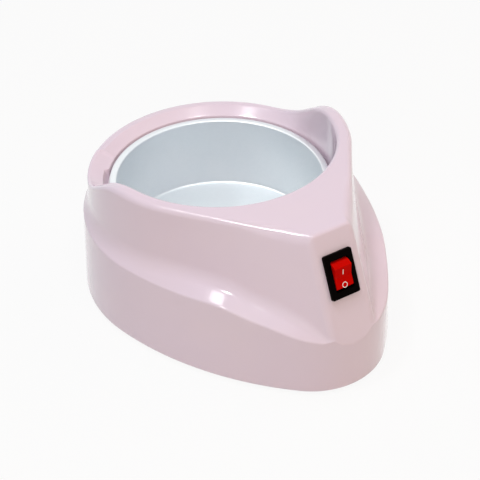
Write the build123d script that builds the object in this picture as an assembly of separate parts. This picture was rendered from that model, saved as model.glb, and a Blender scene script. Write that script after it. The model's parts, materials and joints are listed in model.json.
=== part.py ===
from build123d import *
import os
from math import acos, atan2, cos, degrees, hypot, pi, radians, sin, sqrt, tan

# Small wax and paraffin warmer: a teardrop plastic housing with a lift-out aluminium pot,
# a heated well under it and a rocker switch on the sloping nose.
# Millimetres, +Z up, nose towards -Y. While building, the pot axis is the Z axis and z = 0 is
# the surface that the feet stand on; place() then moves the origin to the middle of the footprint.

# Housing, plan outline at its bottom edge and at the height of the side crease
foot_stand = 1.2
skirt_flare = 2.1
skirt_rear_y = -6.0
skirt_side_radius = 152.0
skirt_nose_radius = 35.0
skirt_nose_y = -76.7
rear_ledge_width = 4.5
crease_rear_y = -3.9
crease_side_radius = 230.0
crease_nose_radius = 36.5
crease_nose_y = -74.9
crease_height = 40.7
wall = 2.5

# Housing, upper body: a ring with tangent sides that run to the flat nose facet
collar_width = 9.5
collar_top = 57.2
cowl_top = 75.4
upper_draft = 0.025
facet_lean = 23.3
facet_top_y = -90.0
facet_half_width = 11.2
facet_foot_half_width = 12.3
facet_foot_height = 31.2
horn_start_y = -5.1
horn_end_y = 22.9
horn_bend_radius = 35.0

# Recessed sides: the ledge at the foot of the upper body slopes outwards to the crease.
# Each station gives the share of the way along the foot, its height, its sweep radius and the
# slope of the ledge in degrees.
foot_flare = 0.4
ledge_reach = 30.0
rear_foot_height = 44.3
rear_sweep_radius = 12.5
rear_ledge_slope = 43.0
foot_stations = [
    (0.0, 44.3, 12.5, 43.0),
    (0.28, 45.0, 8.2, 28.5),
    (0.56, 42.6, 7.9, 23.0),
    (0.80, 38.4, 8.0, 27.0),
    (1.15, 22.5, 3.0, 26.0),
]

# Rounding of the housing's outer top edges
top_edge_round = 2.6

# Pot opening and the seat of the well
bore_clearance = 0.7
bore_flare = 1.9
lip_drop = 3.7
lip_width = 5.0
shelf_clearance = 0.5
shelf_thickness = 2.0
gasket_thickness = 0.8
notch_angle = 121.5
notch_width = 16.0
notch_depth = 2.0

# Pot and well
pot_rim_top = 53.2
pot_rim_height = 2.0
pot_rim_width = 3.6
pot_rim_round = 0.8
pot_radius = 50.0
pot_draft = 0.6
pot_sheet = 0.8
pot_floor_height = 16.2
pot_corner_radius = 1.2
well_sheet = 0.8
well_clearance = 0.6
well_flange_clearance = 0.3
well_floor_gap = 0.6

# Heater stack under the well
heater_inner_radius = 17.0
heater_margin = 7.0
heater_thickness = 1.6
heater_tab_offset = 8.0
heater_tab_width = 6.3
heater_tab_gap = 2.0
heater_tab_reach = 5.0
tab_sheet = 0.8
clamp_inner_radius = 24.0
clamp_outer_radius = 38.0
clamp_thickness = 1.0
stud_count = 3
stud_first_angle = 90.0
stud_radius = 2.0
stud_end = 1.0
stud_clearance = 0.2
thread_clearance = 0.05
nut_height = 2.4
nut_flats = 7.0
thermostat_cap_radius = 8.0
thermostat_cap_height = 1.4
thermostat_body_radius = 7.2
thermostat_body_height = 4.4
thermostat_stud_offset = 12.5
thermostat_stud_radius = 1.5
thermostat_nut_height = 1.8
thermostat_nut_flats = 4.8
thermostat_tab_offset = 4.0
thermostat_tab_width = 4.8
thermostat_tab_start = 3.0
thermostat_tab_end = 14.0
bracket_thickness = 0.8
bracket_ring_radius = 9.4
bracket_ear_width = 6.0
fuse_angle = 30.0
fuse_radius = 2.0
fuse_length = 11.0
fuse_clip_width = 6.0
fuse_clip_sheet = 0.8
fuse_clip_foot = 5.0
insulation_thickness = 1.4
insulation_radius = 50.0

# Brackets that pull the well down on its seat
well_bracket_angle = 90.0
well_bracket_width = 9.0
well_bracket_height = 8.0
well_bracket_reach = 5.0
well_bracket_overhang = 3.2
well_bracket_boss_radius = 3.0
well_bracket_drop = 0.8
well_bracket_gap = 0.1

# Base plate, feet and screws
plate_recess = 0.6
plate_thickness = 2.4
plate_clearance = 0.6
pad_rim_width = 1.2
pad_rim_height = 2.0
pad_rim_clearance = 0.4
boss_radius = 3.6
screw_radius = 1.2
screw_length = 10.0
screw_head_radius = 2.6
screw_head_height = 1.4
screw_slot_width = 0.6
screw_slot_depth = 0.5
short_screw_length = 5.4
pilot_clearance = 0.1
pilot_extra_depth = 1.0
screw_hole_clearance = 0.3
front_boss_x = 22.0
front_boss_y = -84.0
rear_boss_angle = 53.4
rear_boss_inset = 3.5
pad_radius = 6.0
pad_sink = 1.0
pad_clearance = 0.1
front_pad_x = 13.0
front_pad_y = -94.0
rear_pad_x = 42.0
rear_pad_y = 26.0
vent_width = 2.4
vent_length = 20.0
vent_pitch = 6.0
vent_count = 3
vent_first_x = 14.0
vent_y = -66.0

# Rocker switch, measured in the plane of the nose facet
switch_height = 56.1
bezel_width = 15.0
bezel_length = 21.0
bezel_thickness = 1.8
bezel_corner = 0.9
switch_width = 12.8
switch_length = 18.8
switch_depth = 12.0
switch_floor = 1.2
cutout_clearance = 0.2
rocker_width = 9.0
rocker_clearance = 0.3
rocker_pivot_depth = 2.0
rocker_end_radius = 7.1
rocker_face_height = 4.0
rocker_skirt_depth = 2.4
rocker_throw = 22.0
trunnion_radius = 1.2
trunnion_clearance = 0.05
trunnion_length = 1.0
trunnion_hole_depth = 1.2
tube_radius = 2.2
tube_depth = 4.4
tube_bore_radius = 1.3
tube_bore_top = 0.6
plunger_radius = 1.15
plunger_length = 4.0
plunger_tip_depth = 6.2
spring_radius = 1.0
spring_wire_radius = 0.18
spring_turns = 4
lever_length = 12.0
lever_width = 3.4
lever_sheet = 0.8
lever_depth = 6.6
lever_throw = 12.0
lever_clearance = 0.3
terminal_width = 4.8
terminal_neck_width = 3.4
terminal_sheet = 0.8
terminal_pitch = 6.0
terminal_reach = 8.0
contact_pad_height = 0.4
contact_pad_length = 2.4
lamp_radius = 1.15
lamp_length = 6.0
lamp_offset = 3.25
lamp_clearance = 0.05
mark_depth = 0.25
on_mark_place = 2.3
on_mark_length = 2.6
on_mark_width = 0.45
off_mark_place = -4.1
off_mark_radius = 1.4
off_mark_stroke = 0.35

# Mains side
bushing_height = 14.0
bushing_neck_radius = 5.2
bushing_flange_radius = 7.2
bushing_flange_thickness = 1.4
bushing_bore_radius = 3.2
bushing_inner_radius = 6.2
bushing_inner_length = 2.4
bushing_clearance = 0.1
pocket_radius = 7.8
pocket_depth = 3.4
pocket_pad_radius = 9.6
pocket_pad_thickness = 2.0
block_width = 20.0
block_length = 15.0
block_height = 10.0
block_y = -74.0
block_screw_x = 6.5
block_screw_y = -78.5
block_groove_width = 2.0
block_groove_depth = 3.0
lead_radius = 1.1
lead_straight = 6.0
lead_bend_radius = 3.4

# Radii worked out from the sizes above, from the pot outwards
pot_rim_radius = pot_radius + pot_rim_width
bore_radius = pot_rim_radius + bore_clearance
bore_top_radius = bore_radius + bore_flare
collar_radius = bore_radius + collar_width
foot_radius = collar_radius + foot_flare
crease_rear_radius = foot_radius + rear_ledge_width
skirt_rear_radius = crease_rear_radius + skirt_flare
well_inner_radius = pot_radius + pot_sheet + well_clearance
well_outer_radius = well_inner_radius + well_sheet
well_flange_radius = bore_radius - well_flange_clearance
well_bracket_radius = well_outer_radius + well_bracket_reach
shelf_radius = well_outer_radius + shelf_clearance
stud_circle_radius = (clamp_inner_radius + clamp_outer_radius) / 2
heater_outer_radius = clamp_outer_radius + heater_margin
rear_boss_radius = skirt_rear_radius - wall - rear_boss_inset

# Heights and lengths worked out from the sizes above
plate_bottom = foot_stand + plate_recess
plate_top = plate_bottom + plate_thickness
pot_rim_underside = pot_rim_top - pot_rim_height
flange_bottom = pot_rim_underside - well_sheet
shelf_top = flange_bottom - gasket_thickness
shelf_bottom = shelf_top - shelf_thickness
pot_underside = pot_floor_height - pot_sheet
well_floor_top = pot_underside - well_floor_gap
well_floor_bottom = well_floor_top - well_sheet
heater_bottom = well_floor_bottom - heater_thickness
clamp_bottom = heater_bottom - clamp_thickness
nut_bottom = clamp_bottom - nut_height
cap_bottom = well_floor_bottom - thermostat_cap_height
bracket_bottom = cap_bottom - bracket_thickness
thermostat_nut_bottom = bracket_bottom - thermostat_nut_height
thermostat_bottom = cap_bottom - thermostat_body_height
well_bracket_top = shelf_bottom - well_bracket_drop
pocket_floor_y = skirt_rear_y + skirt_rear_radius - pocket_depth
bushing_inner_y = pocket_floor_y - pocket_pad_thickness
axis_to_centre = (abs(skirt_nose_y - skirt_nose_radius) - (skirt_rear_y + skirt_rear_radius)) / 2
far = 200.0


def facet_y(height):
    """Y of the nose facet at a height."""
    return facet_top_y - (cowl_top - height) * tan(radians(facet_lean))


def facet_plane(skin=0.0):
    """Plane of the nose facet at the switch: X across, Y up the slope, Z outwards."""
    lean = radians(facet_lean)
    outward = Vector(0, -cos(lean), sin(lean))
    origin = Vector(0, facet_y(switch_height), switch_height) - outward * skin
    return Plane(origin=origin, x_dir=(1, 0, 0), z_dir=outward)


def upper_radius(height):
    """Outer radius of the upper body, which narrows a little upwards."""
    return collar_radius + (collar_top - height) * upper_draft


def polar(radius, angle, height=0.0):
    return Vector(radius * cos(radians(angle)), radius * sin(radians(angle)), height)


def column(radius, bottom, top, x=0.0, y=0.0):
    """Upright cylinder between two heights."""
    return Pos(x, y, bottom) * extrude(Circle(radius), top - bottom)


def block(x_range, y_range, z_range):
    """Box between two corners."""
    size = [high - low for low, high in (x_range, y_range, z_range)]
    middle = [(high + low) / 2 for low, high in (x_range, y_range, z_range)]
    return Pos(*middle) * Box(*size)


def turned(points):
    """Solid of revolution round the pot axis from its (radius, height) corners."""
    outline = [Vector(radius, 0, height) for radius, height in points]
    return revolve(make_face(Polyline(*outline, close=True)), Axis.Z, 360)


def mirrored(point):
    return Vector(-point.X, point.Y, point.Z)


def teardrop(rear_radius, rear_y, side_radius, nose_radius, nose_y, inset, height):
    """Closed outline of four tangent arcs: rear, left side, nose and right side."""
    to_rear = side_radius - rear_radius
    to_nose = side_radius - nose_radius
    span = rear_y - nose_y
    along = (to_rear**2 - to_nose**2 + span**2) / (2 * span)
    side_x = sqrt(to_rear**2 - along**2)
    side_y = rear_y - along
    radius = side_radius - inset
    rear_angle = atan2(rear_y - side_y, -side_x) % (2 * pi)
    nose_angle = atan2(nose_y - side_y, -side_x) % (2 * pi)
    points = []
    for angle in (rear_angle, (rear_angle + nose_angle) / 2, nose_angle):
        points.append(Vector(side_x + radius * cos(angle), side_y + radius * sin(angle), height))
    rear_point, side_point, nose_point = points
    back = Vector(0, rear_y + rear_radius - inset, height)
    tip = Vector(0, nose_y - nose_radius + inset, height)
    return Wire([
        Edge.make_three_point_arc(mirrored(rear_point), back, rear_point),
        Edge.make_three_point_arc(rear_point, side_point, nose_point),
        Edge.make_three_point_arc(nose_point, tip, mirrored(nose_point)),
        Edge.make_three_point_arc(mirrored(nose_point), mirrored(side_point), mirrored(rear_point)),
    ])


def skirt_outline(inset, height):
    return teardrop(
        skirt_rear_radius, skirt_rear_y, skirt_side_radius,
        skirt_nose_radius, skirt_nose_y, inset, height,
    )


def crease_outline(inset, height):
    return teardrop(
        crease_rear_radius, crease_rear_y, crease_side_radius,
        crease_nose_radius, crease_nose_y, inset, height,
    )


def tangent_angle(radius, corner_x, corner_y):
    """Angle from -Y at which a line to a nose corner leaves a circle round the pot axis."""
    return atan2(corner_x, -corner_y) + acos(radius / hypot(corner_x, corner_y))


def foot_angle():
    return tangent_angle(foot_radius, facet_foot_half_width, facet_y(facet_foot_height))


def ledge_section(foot, outward, top_shift, foot_height, sweep_radius, ledge_slope, skin):
    """Closed profile of the space beside the upper body: ledge, concave sweep and wall."""
    slope = radians(ledge_slope)
    top = cowl_top + wall
    ledge = outward * cos(slope) + Vector(0, 0, -sin(slope))
    up = (outward * top_shift + Vector(0, 0, top - foot_height)).normalized()
    corner = foot - outward * skin + Vector(0, 0, foot_height - skin)
    turn = pi - acos(ledge.dot(up))
    tangent = (sweep_radius + skin) * tan(turn / 2)
    bisector = (ledge + up).normalized()
    centre = corner + bisector * ((sweep_radius + skin) / cos(turn / 2))
    ledge_start = corner + ledge * tangent
    ledge_end = corner + ledge * (ledge_reach / cos(slope))
    wall_start = corner + up * tangent
    wall_top = corner + up * ((top - corner.Z) / up.Z)
    outer_top = Vector(ledge_end.X, ledge_end.Y, wall_top.Z)
    return Wire([
        Edge.make_line(ledge_end, ledge_start),
        Edge.make_three_point_arc(
            ledge_start, centre - bisector * (sweep_radius + skin), wall_start,
        ),
        Edge.make_line(wall_start, wall_top),
        Edge.make_line(wall_top, outer_top),
        Edge.make_line(outer_top, ledge_end),
    ])


def rear_recess(skin):
    """Ring-shaped space round the back of the upper body."""
    half_turn = degrees(pi - foot_angle())
    outward = Vector(0, 1, 0)
    shift = upper_radius(cowl_top + wall) - foot_radius
    section = ledge_section(
        outward * foot_radius, outward, shift,
        rear_foot_height, rear_sweep_radius, rear_ledge_slope, skin,
    )
    return revolve(Face(section).rotate(Axis.Z, -half_turn), Axis.Z, 2 * half_turn)


def side_recess(skin, side):
    """Space beside one flank of the upper body, from the ring to past the nose facet."""
    angle = foot_angle()
    outward = Vector(-sin(angle), -cos(angle), 0)
    top_angle = tangent_angle(upper_radius(cowl_top), facet_half_width, facet_top_y)
    top_outward = Vector(-sin(top_angle), -cos(top_angle), 0)
    start = outward * foot_radius
    corner = Vector(-facet_foot_half_width, facet_y(facet_foot_height), 0)
    lean_scale = (cowl_top + wall - facet_foot_height) / (cowl_top - facet_foot_height)
    sections = []
    for share, foot_height, sweep_radius, slope in foot_stations:
        foot = start + (corner - start) * share
        if share == 0:
            shift = upper_radius(cowl_top + wall) - foot_radius
        else:
            gap = upper_radius(cowl_top) - foot.dot(top_outward)
            shift = gap / outward.dot(top_outward) * lean_scale
        sections.append(
            ledge_section(foot, outward, shift, foot_height, sweep_radius, slope, skin),
        )
    recess = Solid.make_loft(sections, ruled=False)
    return recess if side < 0 else recess.mirror(Plane.YZ)


def horn_space(skin):
    """Space above the housing: its top sweeps down from the cowl to the collar behind the pot."""
    profile = FilletPolyline(
        (-far, cowl_top - skin), (horn_start_y, cowl_top - skin),
        (horn_end_y, collar_top - skin), (far, collar_top - skin),
        radius=horn_bend_radius,
    )
    closing = Polyline((far, collar_top - skin), (far, far), (-far, far), (-far, cowl_top - skin))
    return extrude(make_face(Plane.YZ * (profile + closing)), far, both=True)


def body_form(skin):
    """Closed outer form of the housing, or its inner form one skin further in."""
    bottom = foot_stand
    lower = Solid.make_loft(
        [skirt_outline(skin, bottom), crease_outline(skin, crease_height)], ruled=True,
    )
    form = lower + extrude(Face(crease_outline(skin, crease_height)), cowl_top - crease_height)
    form -= rear_recess(skin)
    for side in (-1, 1):
        form -= side_recess(skin, side)
    form -= facet_plane(skin) * Pos(0, 0, far) * Box(2 * far, 2 * far, 2 * far)
    return form - horn_space(skin)


def bore_cone(skin, bottom):
    """Pot opening from a height up, widening upwards, one skin larger if asked."""
    slope = (bore_top_radius - bore_radius) / (cowl_top - shelf_top)
    top = cowl_top + wall
    low = bore_radius + skin + (bottom - shelf_top) * slope
    high = bore_radius + skin + (top - shelf_top) * slope
    return turned([(0, bottom), (low, bottom), (high, top), (0, top)])


def lip_slope():
    """Space over the sloping inner edge of the collar, behind the pot."""
    low = collar_top - lip_drop
    rise = lip_drop / lip_width
    over = horn_bend_radius
    ring = turned([
        (0, low), (bore_radius, low), (bore_radius + over, low + over * rise), (0, low + over * rise),
    ])
    return ring & block((-far, far), (horn_end_y, far), (0, far))


def finger_notch():
    """Slot in the collar's inner edge, for a finger under the pot rim."""
    slot = block(
        (0, bore_radius + notch_depth), (-notch_width / 2, notch_width / 2), (shelf_top, far),
    )
    return slot.rotate(Axis.Z, -90 - notch_angle)


def boss_places():
    rear = polar(rear_boss_radius, rear_boss_angle)
    rear_y = skirt_rear_y + rear.Y
    return [
        (-front_boss_x, front_boss_y), (front_boss_x, front_boss_y),
        (-rear.X, rear_y), (rear.X, rear_y),
    ]


def bracket_angles():
    return [well_bracket_angle + index * 360 / stud_count for index in range(stud_count)]


def outer_top_edges(shape):
    """Edges round the outside of the cowl and the collar, without those across the top."""
    found = []
    for edge in shape.edges():
        ends = [edge.position_at(share) for share in (0, 0.5, 1)]
        high = min(point.Z for point in ends) > collar_top - top_edge_round / 2
        outside = min(hypot(point.X, point.Y) for point in ends) > collar_radius - wall
        across = abs(ends[0].X - ends[2].X) > collar_radius
        closed_ring = ends[1].Y > collar_radius - wall
        if high and outside and (closed_ring or not across):
            found.append(edge)
    return found


def upper_housing():
    outer = body_form(0.0)
    outer = fillet(outer_top_edges(outer), top_edge_round)
    shell = outer - body_form(wall)
    roof_zone = block((-far, far), (-far, far), (shelf_bottom, far))
    shell += outer & bore_cone(wall, shelf_bottom) & roof_zone
    inside = outer & block((-far, far), (-far, far), (plate_top, far))
    for x, y in boss_places():
        shell += column(boss_radius, plate_top, far, x, y) & inside
    for angle in bracket_angles():
        place = polar(well_bracket_radius, angle)
        shell += column(well_bracket_boss_radius, well_bracket_top, shelf_top, place.X, place.Y)
    pad = Pos(0, bushing_inner_y, bushing_height) * Rot(-90, 0, 0) * extrude(
        Circle(pocket_pad_radius), pocket_pad_thickness + wall,
    )
    shell += pad & outer
    shell -= column(shelf_radius, shelf_bottom - wall, far)
    shell -= bore_cone(0.0, shelf_top)
    shell -= lip_slope()
    shell -= finger_notch()
    rearwards = Rot(-90, 0, 0)
    pocket = Pos(0, pocket_floor_y, bushing_height) * rearwards * extrude(Circle(pocket_radius), far)
    neck_hole = Pos(0, bushing_inner_y - wall, bushing_height) * rearwards * extrude(
        Circle(bushing_neck_radius + bushing_clearance), far,
    )
    shell = shell - pocket - neck_hole
    shell -= facet_plane() * Box(
        switch_width + 2 * cutout_clearance, switch_length + 2 * cutout_clearance, 2 * switch_depth,
    )
    pilot = screw_radius + pilot_clearance
    pilot_top = plate_bottom + screw_length + pilot_extra_depth
    for x, y in boss_places():
        shell -= column(pilot, plate_top, pilot_top, x, y)
    for angle in bracket_angles():
        place = polar(well_bracket_radius, angle)
        top = well_bracket_top + short_screw_length
        shell -= column(pilot, well_bracket_top, top, place.X, place.Y)
    return shell


def pad_places():
    return [
        (-front_pad_x, front_pad_y), (front_pad_x, front_pad_y),
        (-rear_pad_x, rear_pad_y), (rear_pad_x, rear_pad_y),
    ]


def base_plate():
    inset = wall + plate_clearance
    plate = extrude(Face(skirt_outline(inset, plate_bottom)), plate_thickness)
    rim_inner = insulation_radius + pad_rim_clearance
    rim = column(rim_inner + pad_rim_width, plate_top, plate_top + pad_rim_height)
    plate += rim - column(rim_inner, plate_top, plate_top + pad_rim_height)
    for x, y in pad_places():
        plate -= column(pad_radius + pad_clearance, 0, plate_bottom + pad_sink, x, y)
    for x, y in boss_places():
        plate -= column(screw_radius + screw_hole_clearance, 0, plate_top, x, y)
    for side in (-1, 1):
        plate -= column(
            screw_radius + pilot_clearance, 0, plate_top, side * block_screw_x, block_screw_y,
        )
        for index in range(vent_count):
            slot = extrude(SlotOverall(vent_length, vent_width, rotation=90), plate_top)
            plate -= Pos(side * (vent_first_x + index * vent_pitch), vent_y, 0) * slot
    return plate


def rubber_feet():
    return [column(pad_radius, 0, plate_bottom + pad_sink, x, y) for x, y in pad_places()]


def screw(length):
    """Cross-slot screw pointing up, with the underside of its head at the origin."""
    body = column(screw_head_radius, -screw_head_height, 0) + column(screw_radius, 0, length)
    slot = Box(2 * screw_head_radius, screw_slot_width, 2 * screw_slot_depth)
    slots = slot + Rot(0, 0, 90) * slot
    return body - Pos(0, 0, -screw_head_height) * slots


def base_screws():
    return [Pos(x, y, plate_bottom) * screw(screw_length) for x, y in boss_places()]


def wax_pot():
    wall_top = pot_rim_underside
    inner_foot = pot_radius - pot_draft
    outer_foot = inner_foot + pot_sheet
    cup = turned([
        (0, pot_underside), (outer_foot, pot_underside), (pot_radius + pot_sheet, wall_top),
        (pot_rim_radius, wall_top), (pot_rim_radius, pot_rim_top), (pot_radius, pot_rim_top),
        (pot_radius, wall_top), (inner_foot, pot_floor_height), (0, pot_floor_height),
    ])
    rim_edges = cup.edges().filter_by(GeomType.CIRCLE).group_by(Axis.Z)[-1]
    cup = fillet(rim_edges, pot_rim_round)
    circles = cup.edges().filter_by(GeomType.CIRCLE)
    corner = [edge for edge in circles if abs(edge.center().Z - pot_underside) < pot_sheet / 2]
    cup = fillet(corner, pot_corner_radius + pot_sheet)
    circles = cup.edges().filter_by(GeomType.CIRCLE)
    corner = [edge for edge in circles if abs(edge.center().Z - pot_floor_height) < pot_sheet / 2]
    return fillet(corner, pot_corner_radius)


def stud_angles():
    return [stud_first_angle + index * 360 / stud_count for index in range(stud_count)]


def thermostat_stud_places():
    return [(-thermostat_stud_offset, 0), (thermostat_stud_offset, 0)]


def heater_well():
    well = turned([
        (0, well_floor_bottom), (well_outer_radius, well_floor_bottom),
        (well_outer_radius, flange_bottom), (well_flange_radius, flange_bottom),
        (well_flange_radius, pot_rim_underside), (well_inner_radius, pot_rim_underside),
        (well_inner_radius, well_floor_top), (0, well_floor_top),
    ])
    for angle in stud_angles():
        place = polar(stud_circle_radius, angle)
        well += column(stud_radius, nut_bottom - stud_end, well_floor_bottom, place.X, place.Y)
    for x, y in thermostat_stud_places():
        bottom = thermostat_nut_bottom - stud_end
        well += column(thermostat_stud_radius, bottom, well_floor_bottom, x, y)
    return well


def well_gasket():
    ring = column(well_flange_radius, shelf_top, flange_bottom)
    return ring - column(shelf_radius, shelf_top, flange_bottom)


def well_brackets():
    """Angle brackets: a curved leg against the well and a flat leg under a boss."""
    brackets = []
    inner = well_outer_radius + well_bracket_gap
    bottom = well_bracket_top - well_bracket_height
    reach = well_bracket_radius + well_bracket_overhang
    for angle in bracket_angles():
        leg = column(inner + tab_sheet, bottom, well_bracket_top)
        flat = block(
            (0, reach), (-well_bracket_width / 2, well_bracket_width / 2),
            (well_bracket_top - tab_sheet, well_bracket_top),
        )
        strip = block(
            (0, reach), (-well_bracket_width / 2, well_bracket_width / 2),
            (bottom, well_bracket_top),
        )
        bracket = (leg & strip) + flat - column(inner, bottom, well_bracket_top)
        hole = screw_radius + screw_hole_clearance
        bracket -= column(hole, bottom, well_bracket_top, well_bracket_radius, 0)
        brackets.append(bracket.rotate(Axis.Z, angle))
    return brackets


def bracket_screws():
    screws = []
    for angle in bracket_angles():
        place = polar(well_bracket_radius, angle, well_bracket_top - tab_sheet)
        screws.append(Pos(place) * screw(short_screw_length))
    return screws


def heater_disc():
    disc = column(heater_outer_radius, heater_bottom, well_floor_bottom)
    disc -= column(heater_inner_radius, heater_bottom, well_floor_bottom)
    for angle in stud_angles():
        place = polar(stud_circle_radius, angle)
        hole = stud_radius + stud_clearance
        disc -= column(hole, heater_bottom, well_floor_bottom, place.X, place.Y)
    return disc


def heater_tabs():
    tabs = []
    for side in (-1, 1):
        middle = side * heater_tab_offset
        tabs.append(block(
            (middle - heater_tab_width / 2, middle + heater_tab_width / 2),
            (-heater_outer_radius - heater_tab_reach, -clamp_outer_radius - heater_tab_gap),
            (heater_bottom - tab_sheet, heater_bottom),
        ))
    return tabs


def clamp_ring():
    ring = column(clamp_outer_radius, clamp_bottom, heater_bottom)
    ring -= column(clamp_inner_radius, clamp_bottom, heater_bottom)
    for angle in stud_angles():
        place = polar(stud_circle_radius, angle)
        hole = stud_radius + stud_clearance
        ring -= column(hole, clamp_bottom, heater_bottom, place.X, place.Y)
    return ring


def nut(flats, height, bore):
    """Hexagon nut standing on the origin."""
    hexagon = RegularPolygon(flats / 2, 6, major_radius=False)
    return extrude(hexagon, height) - column(bore, 0, height)


def clamp_nuts():
    nuts = []
    for angle in stud_angles():
        place = Pos(polar(stud_circle_radius, angle, nut_bottom))
        nuts.append(place * nut(nut_flats, nut_height, stud_radius + thread_clearance))
    return nuts


def thermostat_cap():
    return column(thermostat_cap_radius, cap_bottom, well_floor_bottom)


def thermostat_body():
    return column(thermostat_body_radius, thermostat_bottom, cap_bottom)


def thermostat_tabs():
    tabs = []
    for side in (-1, 1):
        middle = side * thermostat_tab_offset
        tabs.append(block(
            (middle - thermostat_tab_width / 2, middle + thermostat_tab_width / 2),
            (-thermostat_tab_end, -thermostat_tab_start),
            (thermostat_bottom - tab_sheet, thermostat_bottom),
        ))
    return tabs


def thermostat_bracket():
    plate = column(bracket_ring_radius, bracket_bottom, cap_bottom)
    ears = extrude(
        SlotCenterToCenter(2 * thermostat_stud_offset, bracket_ear_width), bracket_thickness,
    )
    plate += Pos(0, 0, bracket_bottom) * ears
    plate -= column(thermostat_body_radius + stud_clearance, bracket_bottom, cap_bottom)
    for x, y in thermostat_stud_places():
        plate -= column(thermostat_stud_radius + stud_clearance, bracket_bottom, cap_bottom, x, y)
    return plate


def thermostat_nuts():
    bore = thermostat_stud_radius + thread_clearance
    piece = nut(thermostat_nut_flats, thermostat_nut_height, bore)
    return [Pos(x, y, thermostat_nut_bottom) * piece for x, y in thermostat_stud_places()]


def fuse_height():
    return clamp_bottom - fuse_clip_sheet - fuse_radius


def in_fuse_place(piece):
    """Moves a piece built at the origin, along X, to the fuse's place under the clamp ring."""
    place = polar(stud_circle_radius, fuse_angle, fuse_height())
    return Pos(place) * Rot(0, 0, fuse_angle + 90) * piece


def thermal_fuse():
    return in_fuse_place(Rot(0, 90, 0) * Cylinder(fuse_radius, fuse_length))


def fuse_clip():
    """Sleeve round the fuse with a flat foot against the clamp ring."""
    inner = fuse_radius + thread_clearance
    sleeve = Rot(0, 90, 0) * Cylinder(inner + fuse_clip_sheet, fuse_clip_width)
    foot = block(
        (-fuse_clip_width / 2, fuse_clip_width / 2), (-fuse_clip_foot, fuse_clip_foot),
        (fuse_radius, fuse_radius + fuse_clip_sheet),
    )
    top = block((-far, far), (-far, far), (-far, fuse_radius + fuse_clip_sheet))
    clip = ((sleeve & top) + foot) - Rot(0, 90, 0) * Cylinder(inner, fuse_clip_width)
    return in_fuse_place(clip)


def insulation_pad():
    return column(insulation_radius, plate_top, plate_top + insulation_thickness)


def cord_bushing():
    """Flanged bushing in the rear wall, where the mains cord goes in."""
    flange = extrude(Circle(bushing_flange_radius), bushing_flange_thickness)
    neck_length = pocket_pad_thickness + bushing_inner_length
    body = flange + Pos(0, 0, -neck_length) * extrude(Circle(bushing_neck_radius), neck_length)
    body += Pos(0, 0, -neck_length) * extrude(Circle(bushing_inner_radius), bushing_inner_length)
    body -= Pos(0, 0, -neck_length) * extrude(Circle(bushing_bore_radius), far)
    return Pos(0, pocket_floor_y, bushing_height) * Rot(-90, 0, 0) * body


def terminal_block():
    half = block_width / 2
    front = block_y - block_length / 2
    rear = block_y + block_length / 2
    body = block((-half, half), (front, rear), (plate_top, plate_top + block_height))
    for side in (-1, 1):
        hole = screw_radius + screw_hole_clearance
        body -= column(hole, plate_top, far, side * block_screw_x, block_screw_y)
        groove_x = side * (half - block_groove_width * 2)
        body -= block(
            (groove_x - block_groove_width / 2, groove_x + block_groove_width / 2),
            (rear - block_groove_depth, rear),
            (plate_top + block_height - block_groove_depth / 2, plate_top + block_height),
        )
    return body


def block_screws():
    top = plate_top + block_height
    length = top - plate_bottom
    return [
        Pos(side * block_screw_x, block_screw_y, top) * Rot(180, 0, 0) * screw(length)
        for side in (-1, 1)
    ]


def heater_leads():
    """Straight leads from the terminal block to the tabs of the heater and the thermostat."""
    start = block_y + block_length / 2
    leads = []
    ends = (
        (heater_tab_offset, heater_bottom - tab_sheet / 2, -heater_outer_radius - heater_tab_reach),
        (thermostat_tab_offset, thermostat_bottom - tab_sheet / 2, -thermostat_tab_end),
    )
    for offset, height, end in ends:
        for side in (-1, 1):
            lead = extrude(Circle(lead_radius), end - start)
            leads.append(Pos(side * offset, start, height) * Rot(-90, 0, 0) * lead)
    return leads


def terminal_rows():
    return [index * terminal_pitch for index in (-1, 0, 1)]


def switch_leads():
    """Leads from the switch tabs, bending down to the top of the terminal block."""
    leads = []
    plane = facet_plane()
    inward = plane.z_dir * -1
    for row in terminal_rows():
        start = plane.from_local_coords((0, row, -switch_depth - terminal_reach))
        bend = start + inward * lead_straight
        end = Vector(bend.X, bend.Y, plate_top + block_height)
        path = FilletPolyline(start, bend, end, radius=lead_bend_radius)
        profile = Plane(origin=start, z_dir=inward) * Circle(lead_radius)
        leads.append(sweep(profile, path=path))
    return leads


def switch_body():
    """Bezel and box of the rocker switch, built with the facet as the XY plane."""
    bezel = extrude(
        RectangleRounded(bezel_width, bezel_length, bezel_corner), bezel_thickness,
    )
    box = Pos(0, 0, -switch_depth) * extrude(Rectangle(switch_width, switch_length), switch_depth)
    window = rocker_end_radius + rocker_clearance
    well = extrude(
        Rectangle(rocker_width + 2 * rocker_clearance, 2 * window), far,
    )
    body = bezel + box - Pos(0, 0, -switch_depth + switch_floor) * well
    hole_half = rocker_width / 2 + rocker_clearance + trunnion_hole_depth
    hole = Rot(0, 90, 0) * Cylinder(trunnion_radius + trunnion_clearance, 2 * hole_half)
    body -= Pos(0, 0, -rocker_pivot_depth) * hole
    for row in terminal_rows():
        body -= block(
            (-terminal_neck_width / 2, terminal_neck_width / 2),
            (row - terminal_sheet / 2, row + terminal_sheet / 2),
            (-switch_depth, -switch_depth + switch_floor),
        )
    top_edges = body.edges().group_by(Axis.Z)[-1]
    outer_edges = [
        edge for edge in top_edges
        if max(abs(edge.center().X) - bezel_width / 2 + bezel_corner,
               abs(edge.center().Y) - bezel_length / 2 + bezel_corner) > 0
    ]
    return facet_plane() * fillet(outer_edges, bezel_corner / 2)


def rocker_face_drop():
    """Distance of the rocker's middle line from its pivot, at mid throw."""
    return rocker_face_height / cos(radians(rocker_throw / 2))


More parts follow.
